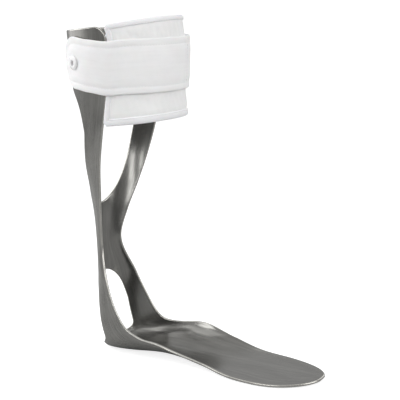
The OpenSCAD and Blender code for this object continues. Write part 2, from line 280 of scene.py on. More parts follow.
def skin(s, v):
    """The wall's middle surface: s along the shell, v from -1 at the lateral trim to 1 at the medial one."""
    s, v = np.asarray(s, float).ravel(), np.asarray(v, float).ravel()
    r = row_at(s)
    side = np.where(v < 0, -1.0, 1.0)
    t = np.abs(v)[:, None]
    k = np.where(v < 0, 2, 6)
    n = np.arange(len(s))
    bx = r[:, 0]
    w = r[n, k + 1] * np.where(bx < 188, 1.0, np.sqrt(np.maximum(0, 1 - ((bx - 188) / 57.9) ** 2)))
    B = np.stack([bx, 0 * bx, r[:, 1]], 1)
    T = np.stack([r[n, k], side * w, r[n, k + 2]], 1)
    rise = (T - B) * [1, 0, 1]
    h = np.linalg.norm(rise, axis=1)
    e = rise / np.maximum(h, 0.001)[:, None]
    tau = np.radians(np.maximum(3, r[n, k + 3]))
    m = 4 / 3 * np.tan(tau / 4)
    full = 1 + 0.28 * np.clip((s - 15.5) / 3, 0, 1) * np.clip((25 - s) / 3, 0, 1)
    l1 = m * w / np.sin(tau) * full
    l2 = np.minimum(m * h / (1 - np.cos(tau)) * full, w * 0.6 + h * 0.4)
    Y = np.array([0.0, 1.0, 0.0])
    P1 = B + (side * l1)[:, None] * Y
    P2 = T - l2[:, None] * (e * np.sin(tau)[:, None] + (side * np.cos(tau))[:, None] * Y)
    P = B * (1 - t) ** 3 + P1 * 3 * t * (1 - t) ** 2 + P2 * 3 * t * t * (1 - t) + T * t ** 3
    return P - [ANKLE_X, 0, 0]


def hole(s, r, p, q):
    """Half width of an opening as a share of its widest: r its first and last station, p and q how square."""
    u = 2 * (s - r[0]) / (r[1] - r[0]) - 1
    f = np.sqrt(np.maximum(0, 1 - np.abs(u) ** np.where(u < 0, p, q)))
    return np.where((s <= r[0]) | (s >= r[1]), 0, f)


def shell():
    """The moulded shell: outer face, inner face and rounded rims in one closed mesh."""
    def seg(a, b, n):
        return a + (b - a) * np.arange(n) / n

    def ease(a, b, n):
        return a + (b - a) * (1 - np.cos(np.pi * np.arange(n) / n)) / 2
    top = 0.04 + (CORNER - 0.04) * (1 - np.cos(np.pi / 2 * np.arange(9) / 9))
    s = np.concatenate([top, seg(CORNER, CALF[0], 14),
                        ease(*CALF, 76), seg(CALF[1], HEEL[0], 32), ease(*HEEL, 60), seg(HEEL[1], TOE, 64),
                        TOE + (LAST - 0.06 - TOE) * np.sin(np.pi / 2 * np.arange(25) / 24)])
    n, cols = len(s), 24
    along = np.linspace(0, 1, 60)
    half = {}
    for side in (-1, 1):
        line = np.stack([skin(s, np.full(n, side * max(t, 1e-6))) for t in along])
        half[side] = np.linalg.norm(np.diff(line, axis=0), axis=2).sum(0)
    low = np.where(s < WAIST, hole(s, CALF, 7, 3.7) * np.interp(s, *CALF_W),
                   hole(s, HEEL, 4, 8) * np.interp(s, *HEEL_W))
    corner = 0.095 * (1 - np.sqrt(np.maximum(0, 1 - (np.maximum(CORNER - s, 0) / 0.41) ** 2)))
    run = np.concatenate([[0], np.cumsum(np.linalg.norm(np.diff(skin(s, np.full(n, 0.5)), axis=0), axis=1))])
    P, uv, index = [], [], {}
    for side in (-1, 1):
        for i in range(n):
            a = low[i] + RIM / half[side][i] * (low[i] > 0)
            b = 1 - corner[i] - RIM / half[side][i]
            v = a + (b - a) * np.arange(cols + 1) / cols
            pts = skin(np.full(cols + 1, s[i]), side * np.maximum(v, 1e-6))
            for j in range(cols + 1):
                if j == 0 and low[i] == 0:
                    if ("c", i) not in index:
                        index["c", i] = len(P)
                        P.append(pts[0] * [1, 0, 1])
                        uv.append([0, run[i]])
                    index[side, i, j] = index["c", i]
                    continue
                index[side, i, j] = len(P)
                P.append(pts[j])
                uv.append([side * v[j] * 55, run[i]])
    F = []
    for side in (-1, 1):
        for i in range(n - 1):
            for j in range(cols):
                q = [index[side, i + m, j + k] for m, k in ((0, 0), (0, 1), (1, 1), (1, 0))]
                F.append(q if side < 0 else q[::-1])
    P, F, uv = np.array(P), np.array(F), np.array(uv, float)
    N = quad_normals(P, F)
    if (N[index["c", 0]] @ [-1, 0, 0]) < 0:
        F, N = F[:, ::-1], -N
    Q, G, src = thicken(P, F, N, WALL / 2, WALL / 2, RIM, 8)
    Q[:, 2] = np.maximum(Q[:, 2], 0)
    # Slots: the outer face with painted light, the inner face with painted shade, and the rims with a painted
    # highlight.
    slots = np.minimum(np.arange(len(G)) // len(F), 2)
    return make("shell_moulded", Q, G, [composite_outer_lit, composite_inner_shaded, rim_painted_highlight], uv[src], slots, sharp=60)


# ---------------------------------------------------------------- the closing strap
ARC_R = 60.0                                   # radius on which the strap's length is counted
# columns of the strap's mesh, in millimetres from its edge: close together round the seam at 6
STRAP_EDGE = np.array([0, .25, .6, 1.1, 1.9, 3.0, 4.2, 5.0, 5.5, 5.9, 6.3, 6.8, 7.6, 8.8, 10.5,
                       13, 16.5, 20.5, 25])


def strap_shift(a):
    """The tip runs out over the hook patch."""
    return TIP_SHIFT * np.sin(np.radians(np.clip(a - HINGE[2], 0, 90))) * step(HINGE[2] - 4, HINGE[2] + 14, a)


def stand_off(a):
    """Round the front of the shin the strap and the flap's lower part stand off by this share."""
    return np.exp(-((a - 28.0) / 26.0) ** 2)


def strap_mid(a, t):
    """Point on the strap's middle surface at angle a, t millimetres above its centre line.

    The strap rides up toward the rivet and dips where it leaves the shell's trim edge; in front of that
    edge it is slightly wider below.
    """
    rise = 2.0 * step(-96, -116, a) - 2.0 * np.exp(-((a + 78) / 13) ** 2)
    top, low = rise, rise - 1.2 * step(-100, -60, a)
    z = -STRAP_W / 2 + t + low + (top - low) * (t / STRAP_W + 0.5)
    wave = 0.22 * np.sin(a * 0.13 + 1.0) * np.sin(t * 0.09 + a * 0.05) + 0.12 * np.sin(a * 0.31 - t * 0.11)
    calm = step(0, 16, np.abs(a - A_RIVET) * ARC_R * math.pi / 180)
    r = STRAP_IN + STRAP_T / 2 + FRONT_SLOPE * z + strap_shift(a) + 1.7 * stand_off(a)
    return cuff(r + wave * calm, a, z)


def tab_up(a):
    """A second layer is sewn on over the strap's last third, where it carries the hook tab."""
    return TAB_STEP * step(TAB_A - 0.7, TAB_A + 0.7, a)


def strap_up(d, near=None):
    """Half thickness of the padded strap, d millimetres inside its edge."""
    rim = np.sqrt(np.clip(1 - (1 - np.clip(d / 1.1, 0, 1)) ** 2, 0, 1))
    h = (0.30 + 0.75 * rim) + 0.72 * step(6.2, 12, d) + 0.12 * step(0.5, 3, d) * step(6, 3.5, d)
    h = h - 0.26 * np.exp(-((d - 6) / 0.9) ** 2)
    if near is not None:
        h = h + 0.25 * np.exp(-((near - 12) / 2.6) ** 2) - 0.22 * step(9, 6, near)
    return h


def strip(length, width, r0, r1, edge, pitch=1.25, fine=0.55):
    """Rows and columns over a strip with rounded free ends of radius r0 and r1 (0 for a cut end)."""
    e = [0.0]
    if r0:
        turns = int(r0 / fine)
        e = [0.12 + (r0 - 0.12) * (1 - math.cos(math.pi / 2 * k / turns)) for k in range(turns)]
    body = np.arange(e[-1] + pitch, length - (r1 or pitch * 0.6), pitch)
    e = np.concatenate([e, body])
    if r1:
        n = int(r1 / fine)
        end = (r1 - 0.12) * (1 - np.sin(math.pi / 2 * np.arange(n + 1) / n))
        e = np.concatenate([e, length - 0.12 - end])
    else:
        e = np.concatenate([e, [length]])
    half = np.full(len(e), width / 2)
    for r, x in ((r0, e), (r1, length - e)):
        if r:
            half = np.where(x < r, width / 2 - r + np.sqrt(np.maximum(0, r * r - (r - x) ** 2)), half)
    cols = np.concatenate([-(1 - edge / edge[-1]), (1 - edge / edge[-1])[::-1][1:]])
    E = np.repeat(e[:, None], len(cols), 1)
    T = half[:, None] * cols[None]
    D = width / 2 - np.abs(T)
    for r, x in ((r0, E), (r1, length - E)):
        if r:
            D = np.minimum(D, x)
            out = np.abs(T) - (width / 2 - r)
            D = np.where((x < r) & (out > 0), r - np.hypot(r - x, out), D)
    return E, T, np.maximum(D, 0)


def seam_path(length, width, r0, r1, inset):
    """The line that runs inset millimetres inside a strip's edges, as one or two runs of (e, t)."""
    w, n = width / 2 - inset, 16

    def turn(c, r, sign):
        r = max(r - inset, 0.5)
        k = np.linspace(0, math.pi / 2, n)
        return [(c[0] + sign * r * math.sin(q), c[1] + r * math.cos(q)) for q in k]
    lo = r0 if r0 else 0
    hi = length - r1 if r1 else length
    xs = np.linspace(lo, hi, max(2, int((hi - lo) / 2)))
    top = [(x, w) for x in xs]
    bottom = [(x, -w) for x in xs[::-1]]
    if r1:
        c = turn((hi, w - max(r1 - inset, 0.5)), r1, 1)
        top += c[1:] + [(x, -t) for x, t in c[::-1]]
    if r0:
        c = turn((lo, w - max(r0 - inset, 0.5)), r0, -1)
        bottom += [(x, -t) for x, t in c[1:]] + [(x, t) for x, t in c[::-1]]
    if r1:
        return [np.array(top + bottom[1:])]
    if r0:
        return [np.array(bottom + top[1:])]
    return [np.array(top), np.array(bottom)]


def surface(fn, e, t):
    """Points and outward normals of fn(e, t)."""
    h = 0.05
    n = np.cross(fn(e + h, t) - fn(e - h, t), fn(e, t + h) - fn(e, t - h))
    return fn(e, t), unit(n)


def strap_length(name, a0, a1, r0, r1, nodes):
    length = math.radians(a1 - a0) * ARC_R

    def at(e, t):
        return strap_mid(a0 + np.degrees(e / ARC_R), t)
    E, T, D = strip(length, STRAP_W, r0, r1, STRAP_EDGE)
    rows, cols = E.shape
    P, N = surface(at, E.ravel(), T.ravel())
    near = None
    if r0 == STRAP_W / 2:
        near = np.hypot(E - r0, T - (RIVET_Z + 25.0 - 1.5)).ravel()
    d = D.ravel()
    up = strap_up(d, near)
    fuzz = 0.05 * np.sin(E * 0.9 + T * 0.4).ravel() * step(8, 12, d)
    cut = np.zeros((rows, cols), bool)
    if not r0:
        cut[0] = True
    if not r1:
        cut[-1] = True
    rho = np.where(cut.ravel(), 0.0, 0.45)
    up = up + fuzz + tab_up(a0 + np.degrees(E.ravel() / ARC_R))
    Q, G, src = thicken(P, grid_faces(rows, cols), N, up, strap_up(d) * 0.97, rho, 6)
    body = Body()
    body.add(Q, G, np.stack([E.ravel() + a0, T.ravel()], 1)[src])
    for run in seam_path(length, STRAP_W, r0, r1, 6.0):
        S, M = surface(at, run[:, 0], run[:, 1])
        lift = strap_up(np.full(len(run), 6.0))[:, None]
        stitches(body, S + M * (lift + tab_up(a0 + np.degrees(run[:, :1] / ARC_R))), M, lift=0.02)
        stitches(body, S - M * lift, -M, lift=0.02)
    if a0 < TAB_A < a1:
        t = np.linspace(7 - STRAP_W / 2, STRAP_W / 2 - 7, 20)
        S, M = surface(at, np.full(20, math.radians(TAB_A + 3.0 - a0) * ARC_R), t)
        stitches(body, S + M * (strap_up(np.full(20, 20.0))[:, None] + TAB_STEP), M, lift=0.02)
    ob = body.make(name, [strap_cloth, thread], sharp=62)
    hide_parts(*nodes)
    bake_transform(ob)
    return ob


def hook_plate(name, a0, a1, z0, z1, r, out, shift, thick, body_name, nodes):
    """A piece of hook tape: a thin woven base with rows of small hooks on the side that out points to."""
    length, width = math.radians(a1 - a0) * r(0.0, a0), z1 - z0

    def at(e, t):
        a = a0 + np.degrees(e / r(0.0, a0))
        z = (z0 + z1) / 2 + t
        return cuff(r(z, a), a, z) + shift
    edge = np.array([0, .3, .8, 1.5, 2.5, 4, 6.5, 10, 14, width / 2])
    E, T, _ = strip(length, width, 1.5, 1.5, edge, 1.2, 0.4)
    P, N = surface(at, E.ravel(), T.ravel())
    Q, G, src = thicken(P, grid_faces(*E.shape), N, thick / 2, thick / 2, 0.2, 4)
    body = Body()
    body.add(Q, G, np.stack([E.ravel(), T.ravel()], 1)[src])
    e, t = np.meshgrid(np.arange(1.2, length - 1.0, 1.5),
                       np.arange(-width / 2 + 1.2, width / 2 - 1.0, 1.3), indexing="ij")
    C, n = surface(at, e.ravel(), t.ravel())
    n = n * out
    u = unit(np.cross(n, [0, 0, 1.0]))
    w = np.cross(u, n)
    ring = []
    for rise, fat in ((0.0, 0.16), (0.34, 0.14), (0.42, 0.30), (0.52, 0.24)):
        for k in range(6):
            c, s = math.cos(k * math.pi / 3), math.sin(k * math.pi / 3)
            ring.append(C + n * (thick / 2 + rise) + (u * c + w * s) * fat)
    one = [[m * 6 + k, m * 6 + (k + 1) % 6, m * 6 + 6 + (k + 1) % 6, m * 6 + 6 + k]
           for m in range(3) for k in range(6)]
    one += [[18, 19, 20, 21], [18, 21, 22, 23], [3, 2, 1, 0], [5, 4, 3, 0]]
    F = (np.array(one)[None] + (np.arange(len(C)) * 24)[:, None, None]).reshape(-1, 4)
    body.add(np.array(ring).transpose(1, 0, 2).reshape(-1, 3), F)
    ob = body.make(name, hook_tape, sharp=50)
    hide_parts(*nodes)
    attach(ob, body_name)
    return ob


# ---------------------------------------------------------------- the padded liner
HEM_T, HEM_H, END_W = 5.0, 7.5, 6.0
PAD_R = 55                                     # radius on which the pads' lengths are counted


class Pad:
    """A padded panel in the cuff frame, between two end angles, two tilted edges and two cones.

    tilt holds how fast the low and the high edge rise toward the front.
    """

    def __init__(self, left, right, low, high, tilt, inner, outer, slope, flare=0.0):
        self.left, self.right, self.low, self.high, self.tilt = left, right, low, high, tilt
        self.inner, self.outer, self.slope, self.flare = inner, outer, slope, flare

    def swell(self, a, z):
        down = self.flare * step(-52, -80, z) * step(80, 48, np.abs(a))
        return down + (self.flare > 0) * stand_off(a) * (3.7 * step(12, -8, z) - 1.5)

    def r_out(self, a, z):
        return self.outer + self.slope * z + self.swell(a, z)

    def r_in(self, a, z):
        return self.inner + self.slope * z + 0.8 * self.swell(a, z)

    def r_mid(self, a, z):
        return (self.r_out(a, z) + self.r_in(a, z)) / 2

    def angles(self, u, v, ends=(0, 0), edges=(0, 0)):
        """Angle and height at shares u round and v up the panel, inset by ends and edges, in millimetres."""
        z = self.low + (self.high - self.low) * v
        for _ in range(5):
            left = self.left(z) + np.degrees(ends[0] / PAD_R)
            right = self.right(z) - np.degrees(ends[1] / PAD_R)
            a = left + (right - left) * u
            x = self.r_mid(a, z) * np.cos(np.radians(a))
            tilt = self.tilt[0] * (1 - v) + self.tilt[1] * v
            z = self.low + edges[0] + tilt * x + (self.high - self.low - edges[0] - edges[1]) * v
        return a, z


def front_end(z):
    """End angle of the front flap: just clear of the shell's trim edge, further back below the strap."""
    lower = -np.degrees(np.arccos(np.clip((18.2 + 0.16 * z) / 56.3, -1, 1)))
    a = -76.5 - 3.0 * step(1, 14, z)
    return a + (lower - a) * step(-49, -54, z)


FRONT = Pad(front_end, lambda z: 76.5 + 0 * z, -84.0, 11.6, (0.09, 0.17),
            FRONT_IN, FRONT_OUT, FRONT_SLOPE, 2.6)
BACK = Pad(lambda z: 78.5 + 0 * z, lambda z: 281.5 + 0 * z, -39.5, 3.0, (0.08, 0.08),
           BACK_IN, BACK_OUT, SLOPE)


def puff(ob, hold, pressure, frames=20):
    """Swells a closed mesh with Blender's cloth and returns how far each point moved, in millimetres."""
    n = len(ob.data.vertices)
    rest = np.zeros(n * 3, np.float32)
    ob.data.vertices.foreach_get("co", rest)
    group = ob.vertex_groups.new(name="sewn")
    level = np.round(np.clip(hold, 0, 1) * 20).astype(int)
    for k in range(1, 21):
        group.add(np.flatnonzero(level == k).tolist(), k / 20, "REPLACE")
    mod = ob.modifiers.new("Cloth", "CLOTH")
    s = mod.settings
    s.quality = 6
    s.mass = 0.15
    s.tension_stiffness = s.compression_stiffness = 8
    s.shear_stiffness = 4
    s.bending_stiffness = 0.3
    s.use_pressure = True
    s.uniform_pressure_force = pressure
    s.effector_weights.gravity = 0
    s.vertex_group_mass = "sewn"
    s.pin_stiffness = 1
    mod.point_cache.frame_start, mod.point_cache.frame_end = 1, frames
    scene = bpy.context.scene
    for f in range(1, frames + 1):
        scene.frame_set(f)
    made = ob.evaluated_get(bpy.context.evaluated_depsgraph_get()).to_mesh()
    co = np.zeros(n * 3, np.float32)
    made.vertices.foreach_get("co", co)
    ob.modifiers.remove(mod)
    ob.vertex_groups.remove(group)
    scene.frame_set(1)
    return ((co - rest) * 1000).reshape(-1, 3).astype(float)


def panel(name, pad, ends, edges, cell, strap_held, limit, body_name, nodes, lining_nodes):
    """The foam panel between its bindings, and the lining on its inner side."""
    a_mid = abs(float(pad.right(np.array(-20.0)) - pad.left(np.array(-20.0))))
    cols = int((pad.high - pad.low) / cell)
    rows = int(math.radians(a_mid) * PAD_R / cell)
    u, v = np.meshgrid(np.linspace(0, 1, rows), np.linspace(0, 1, cols), indexing="ij")
    a, z = pad.angles(u.ravel(), v.ravel(), ends, edges)
    P = cuff(pad.r_mid(a, z), a, z)
    out = unit(cuff(60.0, a, z) - cuff(40.0, a, z))
    F = grid_faces(rows, cols)
    half = (pad.r_out(a, z) - pad.r_in(a, z)) / 2
    near = np.minimum.reduce([u.ravel() * math.radians(a_mid) * PAD_R,
                              (1 - u.ravel()) * math.radians(a_mid) * PAD_R,
                              v.ravel() * (pad.high - pad.low), (1 - v.ravel()) * (pad.high - pad.low)])
    sunk = 0.9 * step(5, 0, near)
    Q, G, src = thicken(P, F, out, half - sunk, half - sunk, 0.8, 5)
    n = len(P)
    upper = np.zeros(len(Q), bool)
    upper[:n] = True
    hold = step(2.6, 0.6, near[src])
    hold[2 * n:] = 1
    under = np.zeros(len(Q))
    if strap_held:
        under = np.where(upper, step(-54, -49, z[src]) * step(3, -1, z[src]), 0)
    hold = np.maximum(hold, under)
    base = make(name, Q, G, [foam_cloth], sharp=80)
    move = puff(base, hold, PRESSURE)
    far = np.linalg.norm(move, axis=1)
    move *= np.where(far > limit, limit / np.maximum(far, 1e-9), 1)[:, None]
    aa, zz = a[src], z[src]
    # the cloth puckers just above and below the strap, and waves softly all over
    beside = step(-60, -52, zz) * step(-47, -52, zz) + step(-2, 2, zz) * step(9, 2, zz)
    pucker = 0.35 * np.sin(aa * 1.9 + 2 * np.sin(aa * 0.37)) * beside
    soft = (0.3 * np.sin(aa * 0.21 + zz * 0.13) * np.sin(zz * 0.21 - aa * 0.06 + 1.3)
            + 0.12 * np.sin(aa * 0.83 + zz * 0.31))
    move += out[src] * ((pucker * strap_held + soft) * (1 - hold) * np.where(upper, 1, -0.5))[:, None]
    Q = Q + move
    if strap_held:
        # nothing pushes into the strap
        x, y = Q[:, 0] - CUFF[0], Q[:, 1]
        zc = Q[:, 2] - CUFF[2]
        xc = x * math.cos(LEAN) + zc * math.sin(LEAN)
        zc = zc * math.cos(LEAN) - x * math.sin(LEAN)
        r = np.hypot(xc, y)
        free = 2.4 * (step(-51.5, -56, zc) + step(1.5, 6, zc))
        most = STRAP_IN - 0.3 + FRONT_SLOPE * zc + free + pad.swell(np.degrees(np.arctan2(y, xc)), zc)
        k = np.where(r > most, most / r, 1)
        xc, y = xc * k, y * k
        Q = cuff(np.hypot(xc, y), np.degrees(np.arctan2(y, xc)), zc)
    bpy.data.objects.remove(base)
    uv = np.stack([np.radians(a) * PAD_R, z], 1)
    ob = make(name, Q, G, [foam_cloth], uv[src], sharp=80)
    sub = ob.modifiers.new("Subdivision", "SUBSURF")
    sub.levels = sub.render_levels = 1
    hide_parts(*nodes)
    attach(ob, body_name)
    inner = Q[n:2 * n]
    inward = -quad_normals(inner, F)
    L, H, back = thicken(inner + inward * 0.42, F[:, ::-1], inward, 0.34, 0.34, 0.3, 4)
    lining = make(name + "_lining", L, H, [knit], uv[back], sharp=80)
    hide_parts(*lining_nodes)
    # cut to the panel's width along its inner face, and to its height between the hems
    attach(lining, body_name)
    return ob


def sweep(C, U, V, hu, hv, power=0.6, sides=22, taper=2.5):
    """A closed rounded tube along C: half sizes hu along U and hv along V, its ends rounded off."""
    at = np.concatenate([[0], np.cumsum(np.linalg.norm(np.diff(C, axis=0), axis=1))])
    end = np.minimum(at, at[-1] - at)
    k = np.sqrt(np.clip(1 - (1 - np.clip(end / taper, 0, 1)) ** 2, 0.02, 1))
    hu, hv = np.broadcast_to(hu, len(C)), np.broadcast_to(hv, len(C))
    phi = np.arange(sides) * 2 * math.pi / sides
    c, s = np.cos(phi), np.sin(phi)
    c, s = np.sign(c) * np.abs(c) ** power, np.sign(s) * np.abs(s) ** power
    P = (C[:, None] + U[:, None] * (c[None] * (hu * k)[:, None])[..., None]
         + V[:, None] * (s[None] * (hv * k)[:, None])[..., None])
    m = len(C)
    P = np.concatenate([P.reshape(-1, 3), C[:1], C[-1:]])
    F = [[i * sides + j, i * sides + (j + 1) % sides, (i + 1) * sides + (j + 1) % sides, (i + 1) * sides + j]
         for i in range(m - 1) for j in range(sides)]
    F += [[m * sides, (j + 1) % sides, j, j] for j in range(sides)]
    last = (m - 1) * sides
    F += [[m * sides + 1, last + j, last + (j + 1) % sides, last + (j + 1) % sides] for j in range(sides)]
    ring = np.concatenate([[0], np.cumsum(np.hypot(np.diff(c) * hu[0], np.diff(s) * hv[0]))])
    uv = np.concatenate([np.stack([np.repeat(at, sides), np.tile(ring, m)], 1), [[0, 0], [at[-1], 0]]])
    return P, F, uv


def hem(name, pad, run, body_name, node, power=0.55):
    """A bound edge. run is ("low" or "high", width), or ("left" or "right", width)."""
    side, width = run
    k = np.linspace(0, 1, 150 if side in ("low", "high") else 60)
    grow = 0.25
    if side in ("low", "high"):
        v = np.full_like(k, 0.0 if side == "low" else 1.0)
        a, z = pad.angles(k, v, (1.2, 1.2))
        z = z + width / 2 * (1 if side == "low" else -1)
    else:
        a, z = pad.angles(np.full_like(k, 0.0 if side == "left" else 1.0), k, edges=(1.0, 1.0))
        a = a + np.degrees(width / 2 / PAD_R) * (1 if side == "left" else -1)
    ro, ri = pad.r_out(a, z) + 0.2, pad.r_in(a, z) - 1.0
    C = cuff((ro + ri) / 2, a, z)
    U = unit(cuff(60.0, a, z) - cuff(40.0, a, z))
    along = unit(np.gradient(C, axis=0))
    V = unit(np.cross(along, U))
    if side in ("low", "high") and V[0, 2] < 0:
        V = -V
    seam = {"low": 1, "high": -1, "left": 1, "right": -1}[side]
    if side in ("left", "right"):
        V = unit(np.cross(U, [0, 0, 1.0]))
        V = V * (1 if float(V[0] @ (cuff(55.0, a[0] + 1, z[0]) - C[0])) > 0 else -1)
    hu = (ro - ri) / 2 + grow * (0 if side == "left" else 1)
    body = Body()
    P, F, uv = sweep(C, U, V, hu, width / 2 + grow, power)
    body.add(P, F, uv)
    inset = width / 2 - 1.3
    for o in (1, -1):
        line = C + U * (o * (hu - 0.12))[:, None] + V * (seam * inset)
        stitches(body, line[2:-2], U[2:-2] * o, lift=0.03)
    ob = body.make(name, [binding, thread], sharp=70)
    if node:
        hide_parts(node)
    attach(ob, body_name)
    return ob


def liner_fold():
    """Cloth that joins the flap to the back section, over the fold at the medial side."""
    rows, cols = 30, 26
    u, v = np.meshgrid(np.linspace(71.0, 85.5, rows), np.linspace(-34, 3.5, cols), indexing="ij")
    a, z = u.ravel(), v.ravel()
    on_flap, on_back = 48.35 + FRONT_SLOPE * z, 45.75 + SLOPE * z
    r = on_flap + (on_back - on_flap) * step(75.5, 80.0, a)
    P = cuff(r, a, z)
    N = -unit(cuff(60.0, a, z) - cuff(40.0, a, z))
    F = grid_faces(rows, cols)[:, ::-1]
    Q, G, src = thicken(P, F, N, 0.4, 0.4, 0.35, 4)
    body = Body()
    body.add(Q, G, np.stack([np.radians(a) * 50, z], 1)[src])
    inside = np.arange(1, cols - 1)
    for row in (1, rows - 2):
        stitches(body, Q[inside + row * cols], N[inside + row * cols], lift=0.05)
    ob = body.make("liner_fold", [binding, thread], sharp=80)
    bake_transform(ob)
    return ob


# ---------------------------------------------------------------- materials
DECIMETRE = 100.0                              # millimetres in the unit of the surface coordinates
WAVE_PERIOD = 0.314                            # a wave texture of this scale repeats once a unit


def material(name):
    m = bpy.data.materials.new(name)
    m.use_nodes = True
    t = m.node_tree
    return m, t, t.nodes["Principled BSDF"]


def node(t, kind, **values):
    n = t.nodes.new("ShaderNode" + kind)
    for k, v in values.items():
        if k in n.inputs:
            n.inputs[k].default_value = v
        else:
            setattr(n, k, v)
    return n


def coords(t, scale, uv=True):
    """Surface coordinates, times scale for each decimetre, or the object's own metres."""
    c = node(t, "TexCoord")
    m = node(t, "Mapping", vector_type="POINT")
    m.inputs["Scale"].default_value = scale
    t.links.new(c.outputs["UV" if uv else "Object"], m.inputs["Vector"])
    return m.outputs["Vector"]


def noise(t, vector, scale=1.0, detail=3.0, rough=0.55):
    n = node(t, "TexNoise", Scale=scale, Detail=detail, Roughness=rough)
    t.links.new(vector, n.inputs["Vector"])
    return n.outputs["Fac"]


def wave(t, vector, scale, distortion=0.0, direction="X"):
    n = node(t, "TexWave", Scale=scale, Distortion=distortion, bands_direction=direction)
    n.inputs["Detail Scale"].default_value = 2.0
    t.links.new(vector, n.inputs["Vector"])
    return n.outputs["Fac"]


def ramp(t, fac, *stops):
    n = node(t, "ValToRGB")
    e = n.color_ramp.elements
    while len(e) < len(stops):
        e.new(0.5)
    for k, (at, colour) in enumerate(stops):
        e[k].position = at
        e[k].color = (*colour, 1) if hasattr(colour, "__len__") else (colour, colour, colour, 1)
    t.links.new(fac, n.inputs["Fac"])
    return n.outputs["Color"]


def maths(t, op, a, b):
    n = node(t, "Math", operation=op)
    for k, q in enumerate((a, b)):
        if isinstance(q, (int, float)):
            n.inputs[k].default_value = q
        else:
            t.links.new(q, n.inputs[k])
    return n.outputs[0]


def bump(t, height, strength, distance, after=None):
    n = node(t, "Bump", Strength=strength, Distance=distance)
    t.links.new(height, n.inputs["Height"])
    if after is not None:
        t.links.new(after, n.inputs["Normal"])
    return n.outputs["Normal"]


def composite_material(name, tone, rough):
    """Moulded laminate: satin, silvery, with fine streaks that run along the shell."""
    m, t, s = material(name)
    streak = noise(t, coords(t, (190, 2.0, 1)), 1, 4, 0.7)
    band = noise(t, coords(t, (24, 0.9, 1)), 1, 3, 0.6)
    cloud = noise(t, coords(t, (5, 3, 1)), 1, 2, 0.5)
    slow = maths(t, "ADD", maths(t, "MULTIPLY", band, 0.35), maths(t, "MULTIPLY", cloud, 0.2))
    mix = maths(t, "ADD", maths(t, "MULTIPLY", streak, 0.45), slow)
    warm = (1.0, 0.988, 0.936)
    stops = [(at, tuple(c * k * tone for c in warm)) for at, k in ((0.36, 0.72), (0.50, 1.0), (0.64, 1.30))]
    t.links.new(ramp(t, mix, *stops), s.inputs["Base Color"])
    gloss = maths(t, "ADD", maths(t, "MULTIPLY", streak, 0.6), maths(t, "MULTIPLY", cloud, 0.4))
    t.links.new(ramp(t, gloss, (0.3, rough - 0.03), (0.7, rough + 0.03)), s.inputs["Roughness"])
    s.inputs["Metallic"].default_value = 0.88
    s.inputs["Anisotropic"].default_value = 0.35
    s.inputs["Coat Weight"].default_value = 0.22
    s.inputs["Coat Roughness"].default_value = 0.16
    fine = bump(t, streak, 0.10, 0.00004)
    orange = bump(t, noise(t, coords(t, (60, 60, 1)), 1, 2, 0.5), 0.06, 0.0001, fine)
    t.links.new(orange, s.inputs["Normal"])
    return m


def cloth_material(name, colour, loop, pile, weave=None, sheen=0.35, rough=0.85, streaky=0.0):
    """Woven or brushed cloth; loop and pile are the sizes of its structure in millimetres."""
    m, t, s = material(name)
    fluff = noise(t, coords(t, (DECIMETRE / pile, DECIMETRE / pile, 1)), 1, 5, 0.7)
    blot = noise(t, coords(t, (4, 4, 1)), 1, 3, 0.6)
    height = fluff
    if weave is not None:
        wx = wave(t, coords(t, (1, 1, 1)), WAVE_PERIOD / (loop / DECIMETRE), 0.6, "X")
        wy = wave(t, coords(t, (1, 1, 1)), WAVE_PERIOD / (weave / DECIMETRE), 0.6, "Y")
        threads = maths(t, "MULTIPLY", maths(t, "MULTIPLY", wx, wy), 0.65)
        height = maths(t, "ADD", threads, maths(t, "MULTIPLY", fluff, 0.35))
    shade = maths(t, "ADD", maths(t, "MULTIPLY", height, 0.5), maths(t, "MULTIPLY", blot, 0.5))
    if streaky:
        ribs = noise(t, coords(t, (2.0, 34, 1)), 1, 2, 0.5)
        shade = maths(t, "ADD", maths(t, "MULTIPLY", shade, 1 - streaky), maths(t, "MULTIPLY", ribs, streaky))
    low = tuple(c * 0.90 for c in colour)
    t.links.new(ramp(t, shade, (0.25, low), (0.65, colour)), s.inputs["Base Color"])
    t.links.new(ramp(t, fluff, (0.2, rough - 0.08), (0.8, rough + 0.08)), s.inputs["Roughness"])
    s.inputs["Sheen Weight"].default_value = sheen
    s.inputs["Sheen Roughness"].default_value = 0.45
    s.inputs["Specular IOR Level"].default_value = 0.25
    s.inputs["Subsurface Weight"].default_value = 0.05
    s.inputs["Subsurface Scale"].default_value = 0.001
    t.links.new(bump(t, height, 0.5, 0.00025), s.inputs["Normal"])
    return m


def plain_material(name, low, high, rough, metallic=0.0, grain=900.0, depth=0.00003, coat=0.0):
    """Moulded plastic, enamel or metal with a fine grain, from the object's own coordinates."""
    m, t, s = material(name)
    speck = noise(t, coords(t, (grain,) * 3, uv=False), 1, 4, 0.6)
    cloud = noise(t, coords(t, (90,) * 3, uv=False), 1, 2, 0.5)
    mix = maths(t, "ADD", maths(t, "MULTIPLY", speck, 0.5), maths(t, "MULTIPLY", cloud, 0.5))
    t.links.new(ramp(t, mix, (0.3, low), (0.7, high)), s.inputs["Base Color"])
    t.links.new(ramp(t, speck, (0.25, rough * 0.8), (0.75, rough * 1.2)), s.inputs["Roughness"])
    s.inputs["Metallic"].default_value = metallic
    s.inputs["Coat Weight"].default_value = coat
    t.links.new(bump(t, speck, 0.3, depth), s.inputs["Normal"])
    return m
